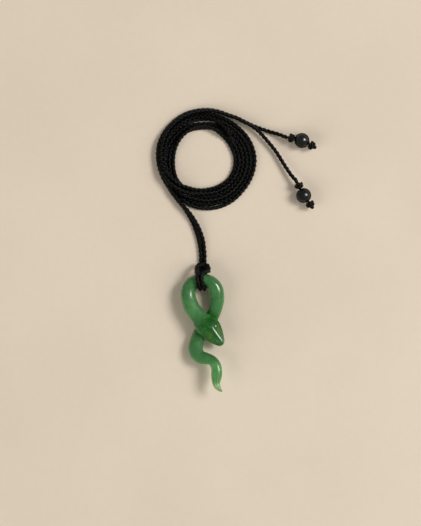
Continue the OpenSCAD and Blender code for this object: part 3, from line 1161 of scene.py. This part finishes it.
    def section(self, row: Array) -> Array:
        """Gives the section's points as offsets to the right and up.

        Args:
            row: a row of the tables.

        Returns:
            An array of sides by 2.
        """
        w, t, keel, shift, ahead, lift = row[3:]
        keel = min(max(keel, 0.0), 1.0)
        a = FULL_TURN * np.arange(self.sides) / self.sides
        oval = np.stack([w / 2 * np.cos(a), t / 2 * np.sin(a)], axis=1)
        right, upper = a < math.pi / 2, (a <= math.pi)[:, None]
        sharp = np.where(right, max(keel, smooth_step(-4.2, -1.6, ahead)), keel)[:, None]
        if sharp.max() <= 0:
            return oval
        across = np.abs(a - math.pi / 2) / (math.pi / 2)
        peak = min(shift, 0.34 * w)
        side = w / 2 - peak
        span = np.where(right, side, -w / 2 - peak)
        soft = self.keel_round
        drop = t / 2 + lift + self.edge_drop * t
        fall = drop * (np.sqrt(across**2 + soft**2) - soft) / (math.sqrt(1 + soft**2) - soft)
        # The ridge is a narrow bevel that leans to the head's left
        far = np.abs(span) * across
        bevel = min(self.ridge_w, 0.3 * side)
        lean = self.ridge_slope * np.minimum(far, bevel)
        rest = np.clip((far - bevel) / max(side - bevel, 0.05), 0, 1)
        fall = np.where(right, lean + (drop - self.ridge_slope * bevel) * rest, fall)
        swell = self.cheek_swell * t * np.sin(math.pi * np.clip(across, 0, 1)) ** 2
        hollow = -self.cheek_hollow * t * np.sin(math.pi * np.clip(across * 2, 0, 1)) ** 2
        crown = t / 2 + lift - fall + np.where(right, 0, swell + hollow)
        belly = -self.edge_drop * t + (0.5 - self.edge_drop) * t * np.sin(a)
        top, under = np.stack([peak + span * across, crown], axis=1), np.stack([oval[:, 0], belly], axis=1)
        sharp = np.where(upper, sharp, keel)
        return oval * (1 - sharp) + np.where(upper, top, under) * sharp

    def carve(self, offsets: Array, row: Array) -> Array:
        """Carves the head's eyes, ridge, cheeks and mouth line into a section.

        Args:
            offsets: the section's points, to the right and up.
            row: its row of the tables.

        Returns:
            The carved points.
        """
        ahead = row[7]
        if ahead < -4:
            return offsets
        x, y = offsets.T
        crease = spot(x - 0.82, 0.0, 0.42, 1.0) * smooth_step(-3.2, -1.6, ahead) * smooth_step(2.4, -0.4, ahead)
        rise = -self.crease_depth * crease
        for high, f, at, long, wide in self.mounds:
            rise = rise + high * spot(x - at, ahead - f, wide, long)
        edge = np.abs(x) / max(row[3] / 2, 0.1)
        lip = spot(y + 0.62, 0.0, 0.16, 1.0) * smooth_step(0.8, 0.95, edge) * (y < 0.3) * (y > -1.4)
        lip = lip * smooth_step(0.8, 2.6, ahead) * smooth_step(8.9, 8.0, ahead)
        return np.stack([x - np.sign(x) * self.lip_depth * lip, y + rise * smooth_step(-0.35, 0.25, y)], axis=1)

    def ring(self, rows: Array, u: float) -> tuple[Array, Array]:
        """Sets the snake's section at its place.

        Args:
            rows: the tables.
            u: place along them.

        Returns:
            The ring's points, and the direction that it faces.
        """
        row = self.row_at(rows, u)
        last = len(rows) - 1
        ahead = unit(self.row_at(rows, min(u + 0.05, last))[:3] - self.row_at(rows, max(u - 0.05, 0))[:3])
        right = unit(np.cross(ahead, UP))
        up = np.cross(right, ahead)
        offsets = self.carve(self.section(row), row)
        return row[:3] + offsets[:, :1] * right + offsets[:, 1:] * up, ahead

    def stretch(self, rows: Array, stations: Array, cap: Cap) -> Object:
        """Sweeps one stretch of the snake and rounds its free end.

        Args:
            rows: the tables.
            stations: places along them.
            cap: the free end, at the stretch's start for the nose and at its end for the tail.

        Returns:
            A closed object.
        """
        made = [self.ring(rows, u) for u in stations]
        rings = [ring for ring, _ in made]
        nose = cap is Cap.NOSE
        ring, ahead = made[0 if nose else -1]
        share, start = cap.value
        middle, first = ring.mean(0), math.radians(start)
        reach = np.linalg.norm(ring - middle, axis=1).mean() * share * (-1 if nose else 1)
        # The cap starts partway round, where it leans in as the surface before it does
        for a in np.radians(np.linspace(start, self.cap_end, self.cap_rings + 1)[1:]):
            out = (ring - middle) * math.cos(a) + ahead * reach * (math.sin(a) - math.sin(first))
            rings.insert(0 if nose else len(rings), middle + out / math.cos(first))
        bm = bmesh.new()
        add_tube(bm, (np.array(rings) + np.array([0, 0, self.lift])) * MM)
        return finish_mesh(bm, "snake_stretch", sharp=0.75)

    def colour_marks(self, mesh: bpy.types.Mesh) -> None:
        """Marks on the mesh the stone's depth of colour (0 deep, 1 pale) with a painted sheen and a painted shadow
        in it, brownish-green patches of painted glow and painted reflection, satin places and quiet places.

        Args:
            mesh: the snake's mesh, whose points take the marks.
        """
        co = np.zeros(len(mesh.vertices) * 3)
        mesh.vertices.foreach_get("co", co)
        x, y, z = (co.reshape(-1, 3) / MM).T
        a = math.radians(self.head_turn)
        dx, dy = x - self.head_at[0], y - self.head_at[1]
        ahead, right = dx * math.cos(a) + dy * math.sin(a), dx * math.sin(a) - dy * math.cos(a)
        on_head = smooth_step(-5.5, -1.0, ahead) * smooth_step(2.8, 4.0, z)
        on_head = on_head * smooth_step(7.5, 5.0, np.abs(right))
        # Fine streaks run down the tail
        tail = np.array(self.loop_right[-8:])
        streaks = np.cos(FULL_TURN * (x - np.interp(-y, -tail[:, 1], tail[:, 0])) / 0.95)
        # The back of the head, where it crosses the limb, is deep green with hardly any sheen
        quiet = np.clip(1.3 * spot(x - 1.9, y - 5.6, 2.8, 3.4), 0, 1)
        tone = (
            0.5 - 0.42 * on_head + 0.3 * smooth_step(-9, -14, y) + 0.26 * smooth_step(-18.0, -22.8, y)
            # The left limb is painted lighter here: a painted soft sheen
            + 0.12 * spot(x + 5.0, y - 12.0, 2.6, 5.0)
            + 0.24 * smooth_step(4.2, 7.0, ahead) * smooth_step(-0.6, 0.5, right) * on_head
            - 0.09 * smooth_step(-15.0, -19.5, y) * streaks
            # The limb beneath the head's crossing is painted darker: a painted shadow of the head
            - 0.25 * spot(x - 1.2, y - 3.0, 3.5, 4.5) * smooth_step(4.2, 3.0, z)
            - 0.14 * quiet
        )
        # Brownish-green patches on the head: a painted warm reflection on its left facet, and a painted glow where
        # the stone is thin at the eye
        left_painted_reflection = 0.85 * spot(ahead - 3.3, right + 2.6, 1.1, 0.8)
        painted_olive = np.maximum(0.75 * spot(ahead - 3.6, right - 1.9, 1.7, 1.3), left_painted_reflection) * on_head
        satin = np.maximum.reduce([
            spot(x + 1.4, y + 6.9, 3.4, 4.0), 0.8 * spot(x + 2.6, y - 8.0, 2.6, 4.2),
            0.9 * spot(x - 1.9, y - 5.3, 1.7, 1.7), 0.85 * spot(x + 4.4, y - 12.2, 1.7, 2.4),
            0.8 * smooth_step(-19.6, -21.4, y),
            0.95 * spot(right + 1.2, 0.0, 1.1, 1.0) * smooth_step(2.0, 0.2, ahead) * on_head,
        ])
        for title, values in (("tone", tone), ("painted_olive", painted_olive), ("satin", satin), ("quiet", quiet)):
            layer = mesh.attributes.new(title, "FLOAT", "POINT")
            layer.data.foreach_set("value", np.clip(values, 0, 1).astype(np.float32))

    def build(self, finish: Material) -> Object:
        """Sweeps both stretches, fuses them where the snake crosses itself, and dresses the stone.

        Args:
            finish: the stone's material.

        Returns:
            The new object.
        """
        rows = self.rows()
        neck, end = len(self.head) - 1, len(rows) - 1
        cut = neck + len(self.loop_left)
        head = np.linspace(0, neck, neck * self.head_rings, endpoint=False)
        limb = np.linspace(neck, cut, (cut - neck) * self.limb_rings + 1)
        first = self.stretch(rows, np.concatenate([head, limb]), Cap.NOSE)
        back = np.linspace(cut, end, (end - cut) * self.limb_rings + 1)
        second = self.stretch(rows, back, Cap.TAIL)
        union = first.modifiers.new("fuse", "BOOLEAN")
        union.operation, union.solver, union.object = "UNION", "EXACT", second
        bpy.context.view_layer.update()
        fused = bpy.data.meshes.new_from_object(first.evaluated_get(bpy.context.evaluated_depsgraph_get()))
        for spare in (first, second):
            bpy.data.objects.remove(spare)
        bm = bmesh.new()
        bm.from_mesh(fused)
        bmesh.ops.remove_doubles(bm, verts=bm.verts, dist=2e-6)
        piece = finish_mesh(bm, "carved_jade_snake", sharp=0.8)
        self.colour_marks(piece.data)
        dress(piece, finish, ["snake"])
        return piece


# ---------------------------------------------------------------- assembly


def main() -> None:
    """Builds the camera, the cord, the beads, the snake and the studio, in that order."""
    logging.basicConfig(level=logging.INFO, format="%(name)s: %(message)s")
    PhotoCamera().place()
    stone, ply = clouded_stone(), twisted_ply()
    jade, cord, black = JadeFinish().make(stone), BraidFinish().make(ply), BlackStoneFinish().make(stone)
    braid = Braid()
    hitch, legs = DoubledCord(braid, cord).build()
    upper = BeadEnd("upper", (39.7, 76.8), -20.0, 8.0).build(braid, cord, black)
    lower = BeadEnd("lower", (40.4, 54.8), -59.0, -5.0).build(braid, cord, black)
    CarvedSnake().build(jade)
    Studio().build()


if __name__ == "__main__":
    main()
